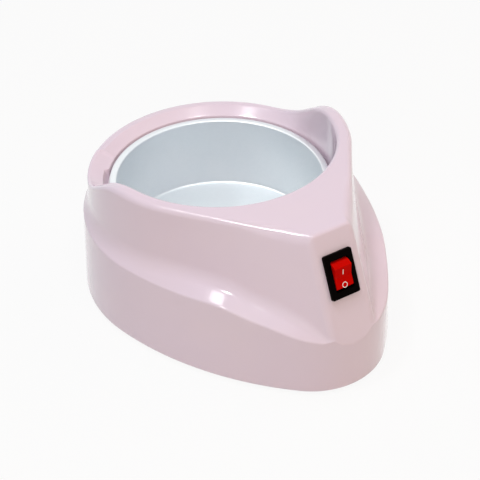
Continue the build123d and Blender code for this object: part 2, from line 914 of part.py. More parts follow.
def at_rest(piece):
    """Moves a piece of the rocker from mid throw at the origin to its place at rest."""
    return facet_plane() * Pos(0, 0, -rocker_pivot_depth) * Rot(rocker_throw / 2, 0, 0) * piece


def rocker():
    """Rocker with its two faces, end arcs, plunger tube and trunnions, at mid throw."""
    half_throw = radians(rocker_throw / 2)
    middle = rocker_face_drop()
    reach = sqrt(rocker_end_radius**2 - rocker_face_height**2)
    edge_y = reach * cos(half_throw) - rocker_face_height * sin(half_throw)
    edge_z = rocker_face_height * cos(half_throw) + reach * sin(half_throw)
    foot_y = sqrt(rocker_end_radius**2 - rocker_skirt_depth**2)
    outline = [
        Line((0, middle), (edge_y, edge_z)),
        ThreePointArc((edge_y, edge_z), (rocker_end_radius, 0), (foot_y, -rocker_skirt_depth)),
        Line((foot_y, -rocker_skirt_depth), (-foot_y, -rocker_skirt_depth)),
        ThreePointArc((-foot_y, -rocker_skirt_depth), (-rocker_end_radius, 0), (-edge_y, edge_z)),
        Line((-edge_y, edge_z), (0, middle)),
    ]
    face = make_face(Plane.YZ * Wire([piece.edge() for piece in outline]))
    body = extrude(face, rocker_width / 2, both=True)
    body += column(tube_radius, -tube_depth, 0)
    trunnion = Cylinder(trunnion_radius, rocker_width + 2 * trunnion_length)
    body += Rot(0, 90, 0) * trunnion
    body -= column(tube_bore_radius, -tube_depth, tube_bore_top)
    for mark in rocker_marks():
        body -= mark
    return at_rest(body)


def on_face(piece, place, side):
    """Sets a flat mark into one face of the rocker, at a distance from its middle line."""
    tilt = side * rocker_throw / 2
    return Pos(0, 0, rocker_face_drop()) * Rot(tilt, 0, 0) * Pos(0, place, -mark_depth) * piece


def rocker_marks():
    """On mark and off mark, at mid throw."""
    line = extrude(Rectangle(on_mark_width, on_mark_length), mark_depth)
    ring = extrude(Circle(off_mark_radius) - Circle(off_mark_radius - off_mark_stroke), mark_depth)
    return on_face(line, on_mark_place, 1), on_face(ring, off_mark_place, -1)


def on_mark():
    return at_rest(rocker_marks()[0])


def off_mark():
    return at_rest(rocker_marks()[1])


def rocker_plunger():
    tip = -plunger_tip_depth + plunger_radius
    top = -plunger_tip_depth + plunger_length
    body = column(plunger_radius, tip, top) + Pos(0, 0, tip) * Sphere(plunger_radius)
    return at_rest(body)


def plunger_spring():
    """Spring coils between the plunger and the top of its tube."""
    bottom = -plunger_tip_depth + plunger_length + spring_wire_radius
    top = tube_bore_top - spring_wire_radius
    centre_radius = spring_radius - spring_wire_radius
    pitch = (top - bottom) / spring_turns
    path = Helix(pitch, top - bottom, centre_radius)
    start = Plane(origin=path @ 0, z_dir=path % 0)
    coil = sweep(start * Circle(spring_wire_radius), path=path, is_frenet=True)
    return at_rest(Pos(0, 0, bottom) * coil)


def contact_lever():
    """See-saw plate under the plunger, with the end on the pressed side up."""
    plate = Box(lever_width, lever_length, lever_sheet)
    ridge = Rot(0, 90, 0) * Cylinder(lever_sheet / 2, lever_width)
    body = plate + Pos(0, 0, -lever_sheet / 2) * ridge
    tilt = Rot(-lever_throw / 2, 0, 0)
    return facet_plane() * Pos(0, 0, lever_centre()) * tilt * body


def lever_centre():
    return -rocker_pivot_depth - lever_depth - lever_sheet / 2


def switch_terminals():
    floor = -switch_depth + switch_floor
    lever_bottom = lever_centre() - lever_sheet
    terminals = []
    for row in terminal_rows():
        neck = block(
            (-terminal_neck_width / 2, terminal_neck_width / 2),
            (row - terminal_sheet / 2, row + terminal_sheet / 2), (-switch_depth, floor),
        )
        tab = block(
            (-terminal_width / 2, terminal_width / 2),
            (row - terminal_sheet / 2, row + terminal_sheet / 2),
            (-switch_depth - terminal_reach, -switch_depth),
        )
        top = lever_bottom - lever_clearance if row == 0 else floor + contact_pad_height
        pad = block(
            (-terminal_neck_width / 2, terminal_neck_width / 2),
            (row - contact_pad_length / 2, row + contact_pad_length / 2), (floor, top),
        )
        terminals.append(facet_plane() * (neck + tab + pad))
    return terminals


def neon_lamp():
    height = -switch_depth + switch_floor + lamp_radius + lamp_clearance
    lamp = Rot(90, 0, 0) * Cylinder(lamp_radius, lamp_length)
    return facet_plane() * Pos(lamp_offset, 0, height) * lamp


def place(shape):
    """Moves a shape so that the origin is the middle of the footprint."""
    return Pos(0, axis_to_centre, 0) * shape


makers = [
    upper_housing, base_plate, rubber_feet, base_screws, wax_pot, heater_well, well_gasket,
    well_brackets, bracket_screws, heater_disc, heater_tabs, clamp_ring, clamp_nuts,
    thermostat_cap, thermostat_body, thermostat_tabs, thermostat_bracket, thermostat_nuts,
    thermal_fuse, fuse_clip, insulation_pad, cord_bushing, terminal_block, block_screws,
    heater_leads, switch_leads, switch_body, rocker, on_mark, off_mark, rocker_plunger,
    plunger_spring, contact_lever, switch_terminals, neon_lamp,
]


def main():
    os.makedirs("parts", exist_ok=True)
    for maker in makers:
        made = maker()
        pieces = made if isinstance(made, list) else [made]
        node = Compound([solid for piece in pieces for solid in place(piece).solids()])
        export_step(node, f"parts/{maker.__name__}.step")
    pivot = facet_plane().from_local_coords((0, 0, -rocker_pivot_depth))
    lever = facet_plane().from_local_coords((0, 0, lever_centre()))
    print("axis to centre", round(axis_to_centre, 4))
    print("rocker pivot", place(Pos(pivot)).position, "lever pivot", place(Pos(lever)).position)


if __name__ == "__main__":
    main()
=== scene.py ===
import bpy
from math import acos, atan, atan2, cos, degrees, hypot, pi, radians, sin, sqrt, tan
from mathutils import Matrix, Vector
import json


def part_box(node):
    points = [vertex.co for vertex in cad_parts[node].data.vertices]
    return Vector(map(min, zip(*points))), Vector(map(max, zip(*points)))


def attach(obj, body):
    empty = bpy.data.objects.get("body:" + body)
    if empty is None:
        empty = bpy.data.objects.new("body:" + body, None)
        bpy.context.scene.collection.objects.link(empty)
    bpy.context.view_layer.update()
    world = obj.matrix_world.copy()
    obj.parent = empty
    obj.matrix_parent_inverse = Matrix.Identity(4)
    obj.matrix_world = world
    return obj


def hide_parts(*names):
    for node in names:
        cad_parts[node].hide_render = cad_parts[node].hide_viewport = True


# Small wax and paraffin warmer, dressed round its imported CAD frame.
# Shapes are worked out in millimetres round the pot axis, and to_frame() moves them to the frame.

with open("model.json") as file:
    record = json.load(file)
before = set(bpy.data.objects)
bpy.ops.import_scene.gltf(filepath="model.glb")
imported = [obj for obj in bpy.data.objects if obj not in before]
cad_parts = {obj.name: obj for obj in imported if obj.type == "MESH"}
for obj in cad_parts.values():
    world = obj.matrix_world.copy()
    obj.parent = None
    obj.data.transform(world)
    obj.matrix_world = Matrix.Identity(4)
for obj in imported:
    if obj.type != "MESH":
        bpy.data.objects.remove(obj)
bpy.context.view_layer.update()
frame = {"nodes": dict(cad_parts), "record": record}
pot_low, pot_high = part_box("wax_pot")

MM = 0.001
axis_y = (pot_low.y + pot_high.y) / 2 / MM

# Housing, plan outlines at the bottom edge and at the crease
bottom = 1.2
skirt_rear_radius = 70.8
skirt_rear_y = -6.0
skirt_side_radius = 152.0
skirt_nose_radius = 35.0
skirt_nose_y = -76.7
crease_rear_radius = 68.7
crease_rear_y = -3.9
crease_side_radius = 230.0
crease_nose_radius = 36.5
crease_nose_y = -74.9
crease_height = 40.7
wall = 2.5

# Housing, upper body
collar_radius = 63.8
collar_top = 57.2
cowl_top = 75.4
upper_draft = 0.025
facet_lean = 23.3
facet_top_y = -90.0
facet_half_width = 11.2
facet_foot_half_width = 12.3
facet_foot_height = 31.2
corner_round = 5.0
horn_start_y = -5.1
horn_end_y = 22.9
horn_bend_radius = 35.0
foot_radius = 64.2
ledge_reach = 30.0

# Height of the flank's foot line, by the share of the way from the ring (0) to the nose (1)
foot_stations = [(0.0, 43.6), (0.28, 45.6), (0.56, 45.0), (0.80, 40.4), (1.0, 31.8)]

# Ledge, from the back (-1) past the start of the flank (0) to the nose (1):
# crease height, slope of the ledge at the crease in degrees, radius of the sweep up to the wall
ledge_stations = [
    (-1.0, 40.7, 46.0, 14.0),
    (-0.5, 40.7, 46.0, 14.0),
    (-0.2, 39.4, 44.0, 13.0),
    (0.0, 38.9, 38.0, 11.0),
    (0.2, 39.3, 31.0, 8.5),
    (0.45, 39.8, 23.0, 8.0),
    (0.6, 37.4, 23.0, 8.0),
    (0.75, 35.2, 27.0, 9.0),
    (0.88, 32.4, 28.0, 8.0),
    (1.0, 29.6, 26.0, 5.5),
]

# Roundings of the housing
bottom_edge_round = 2.0
crease_round = 1.3
smile_round = 10.0
top_edge_round = 2.8
nose_edge_round = 7.5
nose_edge_start = 0.45
nose_edge_end = 0.85
facet_edge_round = 2.0
crest_round = 1.8
lip_foot_round = 0.7

# Pot opening
bore_radius = 54.3
bore_top_radius = 56.2
shelf_top = 49.6
shelf_radius = 52.7
shelf_thickness = 2.0
lip_width = 5.0
lip_foot_height = 53.5
flat_end_angle = 140.5
flat_blend = 0.5
flat_width = 7.6
flat_drop = 0.3
flat_fade_angle = 100.0
notch_angle = 121.5
notch_half_angle = 8.0
notch_blend = 1.0
notch_depth = 2.0

# Pot, spun from sheet with a rolled rim
pot_rim_top = 53.2
pot_rim_height = 2.0
pot_rim_width = 3.6
pot_rim_round = 0.8
pot_under_rim_round = 0.3
pot_radius = 50.0
pot_draft = 0.6
pot_sheet = 0.8
pot_floor_height = 16.2
pot_corner_radius = 1.2
pot_floor_rings = (0.0, 20.0, 40.0)
pot_sides = 192
pot_arc_steps = 6

# How finely the housing is divided
facet_steps = 5
corner_steps = 8
flank_steps = 40
ring_steps = 96
blend_steps = 2
sweep_steps = 20
sweep_arc_steps = 40
base_arc_steps = 6
crease_arc_steps = 6
top_arc_steps = 8
crest_arc_steps = 6
lip_arc_steps = 5
spread = (0.03, 0.12, 0.3, 0.5, 0.7, 0.88, 0.97)
short_spread = (0.08, 0.35, 0.65, 0.92)
cutter_sides = 48
sharp_angle = 35.0

# Searches for the outline and for the top of the wall
reach_low = -12.0
reach_high = 60.0
reach_halvings = 40
top_rounds = 6

# Limits that keep every rounding inside the lines it joins
least_tangent = 0.05
tangent_share = 0.45
crease_tangent_share = 0.9
least_sweep_tangent = 0.02
least_crest_width = 0.1

# Length of the facet's wall that the recess takes in above its arc, and the point along the
# recess that gives its direction at the crease
facet_wall_start = 0.5
inward_step = 3

# Switch, in the plane of the nose facet
switch_height = 56.1
cutout_width = 13.2
cutout_length = 19.2
cutout_depth = 12.0

# Cord bushing pocket in the rear wall
bushing_height = 14.0
pocket_radius = 7.8
pocket_depth = 3.4
pocket_overshoot = 5.0
neck_radius = 5.3
neck_depth = 10.0

# Camera, solved from the photograph
view_azimuth = -32.88156
view_elevation = 36.49007
view_roll = -0.92198
view_distance = 770.352
view_shift_x = -9.8107
view_shift_y = 29.3930
focal_pixels = 1586.058
image_pixels = 480
sensor_width = 36.0
aim_height = 50.0
clip_start = 0.01

# Large soft lights that the gloss doesn't show, in metres: direction, watts and colour
light_aim = (0.0, 0.0, 0.03)
softbox_distance = 1.2
softbox_size = (0.8, 0.8)
softboxes = {
    "top_softbox": ((-0.1, 0.1, 1.0), 3.6, (0.58, 0.84, 1.0)),
    "front_left_softbox": ((-0.55, -0.70, 0.68), 5.3, (1.0, 0.95, 0.78)),
    "left_softbox": ((-1.0, 0.1, 0.4), 0.6, (0.5, 0.7, 1.0)),
    "right_front_softbox": ((0.8, -0.6, 0.4), 1.9, (1.0, 0.60, 0.25)),
    "right_softbox": ((0.9, 0.1, 1.1), 3.0, (1.0, 0.84, 0.80)),
    "back_softbox": ((0.2, 1.0, 0.25), 1.2, (1.0, 0.96, 1.0)),
}

# Small lamps that the gloss picks up, in metres: direction, watts and the two sizes
lamp_distance = 0.9
lamps = {
    "lamp_left": ((-0.32, 0.03, 0.95), 1.4, (0.13, 0.13)),
    "lamp_front": ((0.06, -0.25, 0.97), 0.6, (0.13, 0.13)),
    "lamp_rear": ((-0.19, 0.25, 0.95), 0.4, (0.1, 0.22)),
}
lamp_colour = (1.0, 1.0, 1.0)

# World and floor
world_colour = (0.98, 0.97, 1.0, 1.0)
world_strength = 0.08
white = (1.0, 1.0, 1.0, 1.0)
white_strength = 1.0
floor_half = 3.0
floor_colour = (0.80, 0.76, 0.75, 1.0)
floor_white_share = 0.9

# Noise in the materials: sizes, range, depths and how far the gloss varies
noise_detail = 3.0
noise_low = 0.3
noise_high = 0.7
plastic_colour_noise = 28.0
plastic_gloss_noise = 60.0
plastic_gloss_spread = (0.85, 1.2)
plastic_grain = 900.0
plastic_bump = 0.02
plastic_bump_depth = 0.0002
metal_colour_noise = 40.0
metal_gloss_spread = (0.8, 1.25)
metal_grain = 700.0
metal_bump = 0.05
metal_bump_depth = 0.0001


def to_frame(point):
    """Point in millimetres round the pot axis, moved to the frame in metres."""
    return Vector((point[0], point[1] + axis_y, point[2])) * MM


def mix(a, b, share):
    return a + (b - a) * share


def smooth(share):
    share = min(max(share, 0.0), 1.0)
    return share * share * (3 - 2 * share)


# Camera

def add_camera():
    azimuth, elevation, roll = (radians(a) for a in (view_azimuth, view_elevation, view_roll))
    back = Vector((
        sin(azimuth) * cos(elevation), -cos(azimuth) * cos(elevation), sin(elevation),
    ))
    right = Vector((cos(azimuth), sin(azimuth), 0.0))
    up = back.cross(right)
    turned_right = right * cos(roll) + up * sin(roll)
    turned_up = up * cos(roll) - right * sin(roll)
    place = turned_right * -view_shift_x + turned_up * -view_shift_y + back * view_distance
    place += Vector((0, 0, aim_height + bottom))
    camera = bpy.data.cameras.new("camera")
    camera.sensor_width = sensor_width
    camera.lens = focal_pixels * sensor_width / image_pixels
    camera.clip_start = clip_start
    holder = bpy.data.objects.new("camera", camera)
    rotation = Matrix((turned_right, turned_up, back)).transposed()
    holder.matrix_world = Matrix.Translation(to_frame(place)) @ rotation.to_4x4()
    bpy.context.scene.collection.objects.link(holder)
    bpy.context.scene.camera = holder


# Outlines of the skirt

class Teardrop:
    """Outline of tangent arcs: rear, sides and nose. distance() is signed, positive outside."""

    def __init__(self, rear_radius, rear_y, side_radius, nose_radius, nose_y):
        to_rear = side_radius - rear_radius
        to_nose = side_radius - nose_radius
        span = rear_y - nose_y
        along = (to_rear**2 - to_nose**2 + span**2) / (2 * span)
        self.side = Vector((sqrt(to_rear**2 - along**2), rear_y - along))
        self.rear = Vector((0.0, rear_y))
        self.nose = Vector((0.0, nose_y))
        self.radii = (rear_radius, side_radius, nose_radius)

    def distance(self, point):
        p = Vector((-abs(point[0]), point[1]))
        rear_radius, side_radius, nose_radius = self.radii
        from_side = p - self.side
        to_rear = self.rear - self.side
        to_nose = self.nose - self.side
        if to_rear.x * from_side.y - to_rear.y * from_side.x < 0:
            return (p - self.rear).length - rear_radius
        if to_nose.x * from_side.y - to_nose.y * from_side.x > 0:
            return (p - self.nose).length - nose_radius
        return from_side.length - side_radius

    def reach(self, start, outward):
        """Distance from a point to the outline along a direction."""
        low, high = reach_low, reach_high
        for _ in range(reach_halvings):
            middle = (low + high) / 2
            if self.distance(start + outward * middle) < 0:
                low = middle
            else:
                high = middle
        return (low + high) / 2


skirt = Teardrop(
    skirt_rear_radius, skirt_rear_y, skirt_side_radius, skirt_nose_radius, skirt_nose_y,
)
crease = Teardrop(
    crease_rear_radius, crease_rear_y, crease_side_radius, crease_nose_radius, crease_nose_y,
)


# Upper body

def facet_y(height):
    return facet_top_y - (cowl_top - height) * tan(radians(facet_lean))


def upper_radius(height):
    return collar_radius + (collar_top - height) * upper_draft


def roof(y):
    """Height of the housing's top: level cowl, sweep down, level collar."""
    fall = cowl_top - collar_top
    slope = atan(fall / (horn_end_y - horn_start_y))
    tangent = horn_bend_radius * tan(slope / 2)
    first = horn_start_y - tangent
    second = horn_end_y + tangent
    if y <= first:
        return cowl_top
    if y >= second:
        return collar_top
    if y < horn_start_y + tangent * cos(slope):
        return cowl_top - horn_bend_radius + sqrt(horn_bend_radius**2 - (y - first) ** 2)
    if y > horn_end_y - tangent * cos(slope):
        return collar_top + horn_bend_radius - sqrt(horn_bend_radius**2 - (second - y) ** 2)
    return cowl_top - (y - horn_start_y) * tan(slope)


def tangent_angle(radius, corner_x, corner_y):
    return atan2(corner_x, -corner_y) + acos(radius / hypot(corner_x, corner_y))


def heading(angle):
    """Unit vector at an angle from -Y towards -X."""
    return Vector((-sin(angle), -cos(angle)))


def ring_shares():
    """Even shares of the way round the ring, with more at the ends of the notch and the flat."""
    shares = [index / ring_steps for index in range(ring_steps + 1)]
    first = degrees(tangent_angle(upper_radius(cowl_top), facet_half_width, facet_top_y))
    ends = [(flat_end_angle, flat_blend)]
    for side in (-1, 1):
        ends.append((notch_angle + side * (notch_half_angle + notch_blend / 2), notch_blend))
    for middle, blend in ends:
        for index in range(-blend_steps, blend_steps + 1):
            angle = middle + index * blend / (2 * blend_steps)
            shares.append((angle - first) / (180 - first))
    return sorted(shares)


def hull(radius, corner_x, corner_y, rounding):
    """Left half of the upper body's plan, from nose to back: (point, outward, zone, share)."""
    angle = tangent_angle(radius, corner_x, corner_y)
    inset = rounding * tan(angle / 2)
    centre = Vector((inset - corner_x, corner_y + rounding))
    made = []
    for index in range(facet_steps):
        share = index / facet_steps
        made.append((Vector(((inset - corner_x) * share, corner_y)), heading(0), "facet", share))
    for index in range(corner_steps):
        share = index / corner_steps
        outward = heading(angle * share)
        made.append((centre + outward * rounding, outward, "corner", share))
    start = centre + heading(angle) * rounding
    end = heading(angle) * radius
    for index in range(flank_steps):
        share = index / flank_steps
        made.append((start + (end - start) * share, heading(angle), "flank", 1 - share))
    for share in ring_shares():
        outward = heading(mix(angle, pi, share))
        made.append((outward * radius, outward, "ring", share))
    return made


def smooth_between(stations, share, column):
    """Smooth curve through a list of stations."""
    count = len(stations)
    index = 0
    while index < count - 2 and share > stations[index + 1][0]:
        index += 1
    left, right = stations[index], stations[index + 1]
    before = stations[max(index - 1, 0)]
    after = stations[min(index + 2, count - 1)]
    step = right[0] - left[0]
    slope_left = (right[column] - before[column]) / (right[0] - before[0])
    slope_right = (after[column] - left[column]) / (after[0] - left[0])
    if index == 0:
        slope_left = 0.0
    t = (share - left[0]) / step
    return (
        (2 * t**3 - 3 * t**2 + 1) * left[column]
        + (t**3 - 2 * t**2 + t) * step * slope_left
        + (3 * t**2 - 2 * t**3) * right[column]
        + (t**3 - t**2) * step * slope_right
    )


def arc_corner(start, corner, end, steps):
    """Circle arc with its tangents meeting at the corner."""
    first = (start - corner).normalized()
    second = (end - corner).normalized()
    weight = sin(first.angle(second) / 2)
    points = []
    for index in range(steps + 1):
        t = index / steps
        a = (1 - t) ** 2
        b = 2 * t * (1 - t) * weight
        c = t**2
        points.append((start * a + corner * b + end * c) / (a + b + c))
    return points


def turn_tangent(before, corner, after, rounding, limit):
    """Length from a corner to where its rounding starts, at most a share of the sides."""
    first = before - corner
    second = after - corner
    turn = pi - first.angle(second)
    shortest = min(first.length, second.length)
    return min(max(rounding * tan(turn / 2), least_tangent), limit * shortest)


def rounded_corner(before, corner, after, rounding, steps):
    tangent = turn_tangent(before, corner, after, rounding, tangent_share)
    start = corner + (before - corner).normalized() * tangent
    end = corner + (after - corner).normalized() * tangent
    return arc_corner(start, corner, end, steps)


def between(start, end, shares):
    return [start + (end - start) * share for share in shares]


def resampled(points, count):
    """The polyline divided into equal lengths, with both ends."""
    lengths = [0.0]
    for first, second in zip(points, points[1:]):
        lengths.append(lengths[-1] + (second - first).length)
    made = []
    index = 0
    for step in range(count + 1):
        target = lengths[-1] * step / count
        while index < len(points) - 2 and lengths[index + 1] < target:
            index += 1
        span = lengths[index + 1] - lengths[index]
        share = (target - lengths[index]) / span if span > 0 else 0.0
        made.append(points[index] + (points[index + 1] - points[index]) * min(share, 1.0))
    return made


def shortened(points, length):
    """The polyline with a length taken off its start."""
    rest = list(points)
    while len(rest) > 2 and (rest[1] - rest[0]).length < length:
        length -= (rest[1] - rest[0]).length
        rest.pop(0)
    step = rest[1] - rest[0]
    rest[0] = rest[0] + step.normalized() * min(length, crease_tangent_share * step.length)
    return rest


class Station:
    """One upright section of the housing, from its foot out to the skirt and up to the top."""

    def __init__(self, foot, top):
        self.foot, self.outward, self.zone, self.share = foot
        self.top = top[0]
        self.base_reach = skirt.reach(self.foot, self.outward)
        self.crease_reach = crease.reach(self.foot, self.outward)
        self.lay_foot()

    def lay_foot(self):
        """Inward lean of the wall, slope of the ledge, sweep radius and the corner they round."""
        facet_slope = 90 - facet_lean
        if self.zone == "facet":
            self.slope, self.lean, self.sweep = facet_slope, tan(radians(facet_lean)), 0.0
            self.corner = Vector((0.0, facet_foot_height))
            return
        place = -self.share if self.zone == "ring" else self.share
        if self.zone == "corner":
            place = 1.0
        self.lean = self.flank_lean()
        self.slope = smooth_between(ledge_stations, place, 2)
        self.sweep = smooth_between(ledge_stations, place, 3)
        foot_height = smooth_between(foot_stations, max(place, 0.0), 1)
        crease_at = smooth_between(ledge_stations, place, 1)
        rise = tan(radians(self.slope))
        gap = self.skirt_reach(crease_at) - self.lean * foot_height
        height = (crease_at + gap * rise) / (1 - self.lean * rise)
        if self.zone == "corner":
            height = mix(facet_foot_height, height, self.share)
            self.sweep *= self.share
            self.slope = mix(facet_slope, self.slope, self.share)
            self.lean = mix(tan(radians(facet_lean)), self.lean, self.share)
        self.corner = Vector((self.lean * (foot_height - height), height))

    def flank_lean(self):
        """Inward lean of the wall along the foot's outward direction."""
        top_radius = upper_radius(cowl_top)
        if self.zone == "ring":
            gap = self.foot.length - top_radius
            return gap / (cowl_top - foot_stations[0][1])
        angle = tangent_angle(top_radius, facet_half_width, facet_top_y)
        foot_angle = tangent_angle(foot_radius, facet_foot_half_width, facet_y(facet_foot_height))
        top_outward = heading(angle)
        gap = (self.foot.dot(top_outward) - top_radius) / heading(foot_angle).dot(top_outward)
        height = smooth_between(foot_stations, self.share if self.zone == "flank" else 1.0, 1)
        return gap / (cowl_top - height)

    def at(self, out, height):
        """Point in space from a distance outwards and a height."""
        spot = self.foot + self.outward * out
        return Vector((spot.x, spot.y, height))

    def skirt_reach(self, height):
        share = min((height - bottom) / (crease_height - bottom), 1.0)
        return mix(self.base_reach, self.crease_reach, share)

    def recess(self):
        """Points from the crease in along the ledge and up the sweep to the wall."""
        slope = radians(self.slope)
        ledge = Vector((cos(slope), -sin(slope)))
        up = Vector((-self.lean, 1.0)).normalized()
        corner = self.corner
        turn = pi - ledge.angle(up)
        tangent = max(self.sweep * tan(turn / 2), least_sweep_tangent)
        start, end = corner + ledge * tangent, corner + up * tangent
        curve = [corner + ledge * (ledge_reach + tangent)]
        curve += arc_corner(start, corner, end, sweep_arc_steps)
        if self.zone in ("facet", "corner"):
            curve.append(corner + up * (tangent + facet_wall_start))
        for index, (first, second) in enumerate(zip(curve, curve[1:])):
            gap_first = first.x - self.skirt_reach(first.y)
            gap_second = second.x - self.skirt_reach(second.y)
            if gap_first >= 0 > gap_second:
                share = gap_first / (gap_first - gap_second)
                crossing = first + (second - first) * share
                return [self.at(*p) for p in [crossing] + curve[index + 1:]]
        return [self.at(*p) for p in curve[-2:]]

    def top_point(self):
        """Top of the wall, at the roof's height."""
        wall_foot = self.at(*self.corner)
        full = Vector((self.top.x, self.top.y, cowl_top))
        point = full
        for _ in range(top_rounds):
            share = (roof(point.y) - wall_foot.z) / (cowl_top - wall_foot.z)
            point = wall_foot + (full - wall_foot) * share
        return point


def edge_round(station):
    """Rounding of the top edge: widest where the flanks come to the nose."""
    if station.zone == "ring":
        return top_edge_round
    if station.zone == "flank":
        share = (station.share - nose_edge_start) / (nose_edge_end - nose_edge_start)
        return mix(top_edge_round, nose_edge_round, smooth(share))
    if station.zone == "corner":
        return mix(facet_edge_round, nose_edge_round, smooth(station.share))
    return facet_edge_round


def window(angle, middle, half, blend):
    """One inside a range of angles, falling to zero over a blend at each end."""
    return smooth((half + blend - abs(angle - middle)) / blend)


def opening_radius(height):
    return mix(bore_radius, bore_top_radius, (height - shelf_top) / (cowl_top - shelf_top))


def section(station, side):
    """Closed outline of the shell at one station, for the left (-1) or the right (1)."""
    top = station.top_point()
    angle = degrees(atan2(-top.x, -top.y))
    direction = Vector((top.x, top.y)).normalized()
    recess = station.recess()
    crease_point = recess[0]
    base = station.at(station.base_reach, bottom)
    inner_base = station.at(station.base_reach - wall, bottom)

    def ring_point(radius, height):
        return Vector((direction.x * radius, direction.y * radius, height))

    flat = notch = 0.0
    if side < 0:
        flat = 1 - smooth((angle - flat_end_angle) / flat_blend + 0.5)
        notch = notch_depth * window(angle, notch_angle, notch_half_angle, notch_blend)
    crest_height = roof(ring_point(bore_top_radius, 0).y)
    rise = smooth((crest_height - collar_top) / (cowl_top - collar_top))
    crest_out = mix(lip_width, flat_width, flat) * (1 - rise)
    crest = ring_point(opening_radius(crest_height) + crest_out, 0)
    crest.z = roof(crest.y)
    crest_width = max(crest_out, notch, least_crest_width)
    lip_rise = (crest_height - lip_foot_height) * notch / crest_width
    lip_foot = ring_point(opening_radius(lip_foot_height) + notch, lip_foot_height + lip_rise)
    bore_foot = ring_point(opening_radius(shelf_top), shelf_top)
    sunk = flat_drop * flat * smooth((angle - flat_fade_angle) / (notch_angle - flat_fade_angle))
    for point in (top, crest, lip_foot):
        point.z -= sunk
    shelf_edge = ring_point(shelf_radius, shelf_top)
    shelf_low = ring_point(shelf_radius, shelf_top - shelf_thickness)
    roof_under = min(crest_height - wall, mix(crest_height, lip_foot_height, 1 - rise) - wall)
    bore_outer = opening_radius(roof_under) + wall
    well_low = ring_point(bore_outer, shelf_top - shelf_thickness)
    well_high = ring_point(bore_outer, roof_under)
    wall_high = Vector((top.x - direction.x * wall, top.y - direction.y * wall, well_high.z))
    wall_low = station.at(station.corner.x - wall, station.corner.y - wall / 2)
    ledge_low = station.at(
        station.skirt_reach(crease_point.z) - wall, min(crease_point.z, station.corner.y) - wall,
    )

    rounding = smile_round if station.zone == "facet" else crease_round
    if station.zone == "corner":
        rounding = mix(smile_round, crease_round, station.share)
    inward = resampled(recess, sweep_steps)[inward_step]
    tangent = turn_tangent(base, crease_point, inward, rounding, crease_tangent_share)
    crease_start = crease_point + (base - crease_point).normalized() * tangent
    sweep = resampled(shortened(recess, tangent), sweep_steps)

    base_arc = rounded_corner(
        inner_base, base, crease_point, bottom_edge_round, base_arc_steps,
    )
    crease_arc = arc_corner(crease_start, crease_point, sweep[0], crease_arc_steps)
    top_arc = rounded_corner(sweep[-1], top, crest, edge_round(station), top_arc_steps)
    crest_arc = rounded_corner(top, crest, lip_foot, crest_round, crest_arc_steps)
    lip_arc = rounded_corner(crest, lip_foot, bore_foot, lip_foot_round, lip_arc_steps)

    loop = [inner_base]
    loop += base_arc
    loop += between(base_arc[-1], crease_arc[0], spread)
    loop += crease_arc
    loop += sweep[1:]
    loop += between(sweep[-1], top_arc[0], spread)
    loop += top_arc
    loop += between(top_arc[-1], crest_arc[0], spread)
    loop += crest_arc
    loop += between(crest_arc[-1], lip_arc[0], short_spread)
    loop += lip_arc
    loop += between(lip_arc[-1], bore_foot, short_spread)
    loop += [bore_foot, shelf_edge, shelf_low, well_low, well_high, wall_high, wall_low, ledge_low]
    return [Vector((-side * p.x, p.y, p.z)) for p in loop]


def mesh_object(name, points, faces):
    """Object from points in millimetres round the pot axis."""
    mesh = bpy.data.meshes.new(name)
    mesh.from_pydata([to_frame(p) for p in points], [], faces)
    made = bpy.data.objects.new(name, mesh)
    bpy.context.scene.collection.objects.link(made)
    return made


def new_piece(name, points, faces, material):
    """Smooth object with its material, and sharp edges where the surface turns hard."""
    piece = mesh_object(name, points, faces)
    mesh = piece.data
    mesh.validate()
    mesh.polygons.foreach_set("use_smooth", [True] * len(mesh.polygons))
    mesh.set_sharp_from_angle(angle=radians(sharp_angle))
    mesh.materials.append(material)
    return piece


def grid_faces(columns, rows):
    """Quads of a closed grid of closed columns."""
    faces = []
    for column in range(columns):
        following = (column + 1) % columns
        for row in range(rows):
            above = (row + 1) % rows
            faces.append((
                column * rows + row, following * rows + row,
                following * rows + above, column * rows + above,
            ))
    return faces


def facet_frame(height):
    """Turns and moves a piece built flat, with Y up the slope, on to the nose facet."""
    lean = radians(facet_lean)
    across = Vector((1, 0, 0))
    upwards = Vector((0, sin(lean), cos(lean)))
    outward = Vector((0, -cos(lean), sin(lean)))
    place = Matrix((across, upwards, outward)).transposed().to_4x4()
    place.translation = Vector((0, facet_y(height), height))
    return place


def box_cutter(name, size, place):
    x, y, z = (value / 2 for value in size)
    corners = [(sx * x, sy * y, sz * z) for sx in (-1, 1) for sy in (-1, 1) for sz in (-1, 1)]
    faces = [(0, 1, 3, 2), (4, 6, 7, 5), (0, 4, 5, 1), (2, 3, 7, 6), (0, 2, 6, 4), (1, 5, 7, 3)]
    return mesh_object(name, [place @ Vector(corner) for corner in corners], faces)


def drum_cutter(name, radius, start_y, end_y, height):
    """Round cutter along Y."""
    sides = cutter_sides
    points = []
    for y in (start_y, end_y):
        for index in range(sides):
            angle = 2 * pi * index / sides
            points.append((radius * cos(angle), y, height + radius * sin(angle)))
    faces = [tuple(range(sides)), tuple(reversed(range(sides, 2 * sides)))]
    for index in range(sides):
        following = (index + 1) % sides
        faces.append((index, index + sides, following + sides, following))
    return mesh_object(name, points, faces)


def cut_away(piece, cutters):
    """Takes the cutters' spaces out of a piece and deletes them."""
    for cutter in cutters:
        modifier = piece.modifiers.new(cutter.name, "BOOLEAN")
        modifier.operation = "DIFFERENCE"
        modifier.solver = "EXACT"
        modifier.object = cutter
    graph = bpy.context.evaluated_depsgraph_get()
    made = bpy.data.meshes.new_from_object(piece.evaluated_get(graph))
    piece.modifiers.clear()
    piece.data = made
    for cutter in cutters:
        bpy.data.objects.remove(cutter)
    made.set_sharp_from_angle(angle=radians(sharp_angle))


